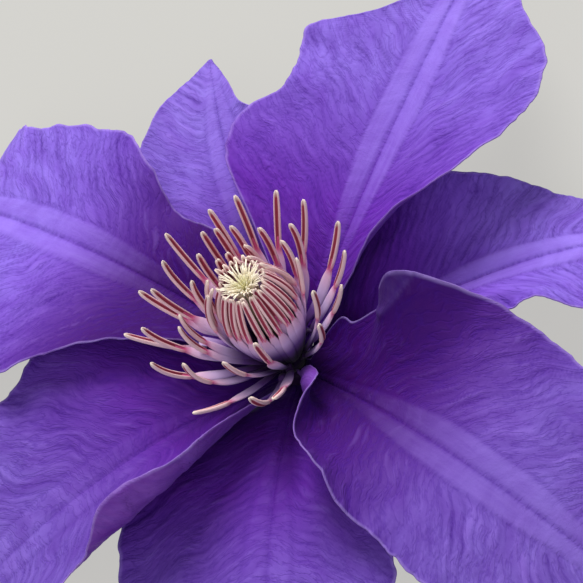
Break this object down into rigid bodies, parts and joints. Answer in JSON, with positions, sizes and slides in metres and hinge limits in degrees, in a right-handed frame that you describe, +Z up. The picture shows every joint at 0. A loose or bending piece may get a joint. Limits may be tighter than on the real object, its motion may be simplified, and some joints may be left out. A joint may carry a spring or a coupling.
{
  "type": "clematis flower",
  "caption": "Large-flowered clematis bloom laid face up: broad pointed sepals, cupped and rolled at their margins, round a tuft of curved stamens and styles, with a short cut stalk.",
  "frame": {"origin": "on the surface that the bloom rests on, under the middle of its footprint", "axes": "+Z up, the way the face of the bloom looks; the bloom leans 9 degrees towards +Y"},
  "size_m": [0.1538, 0.1626, 0.0358],
  "materials": {
    "sepal": "matt velvety violet with ribs and veins",
    "stamens": "matt, lilac-white filaments and maroon and cream anthers",
    "pistil": "matt silky cream",
    "stem": "matt green, finely haired"
  },
  "bodies": {
    "root": {"sepal_1": "sepal", "sepal_2": "sepal", "sepal_3": "sepal", "sepal_4": "sepal", "sepal_5": "sepal", "sepal_6": "sepal", "sepal_7": "sepal", "stamens": "stamens", "pistil": "pistil", "stem": "stem"}
  },
  "joints": []
}
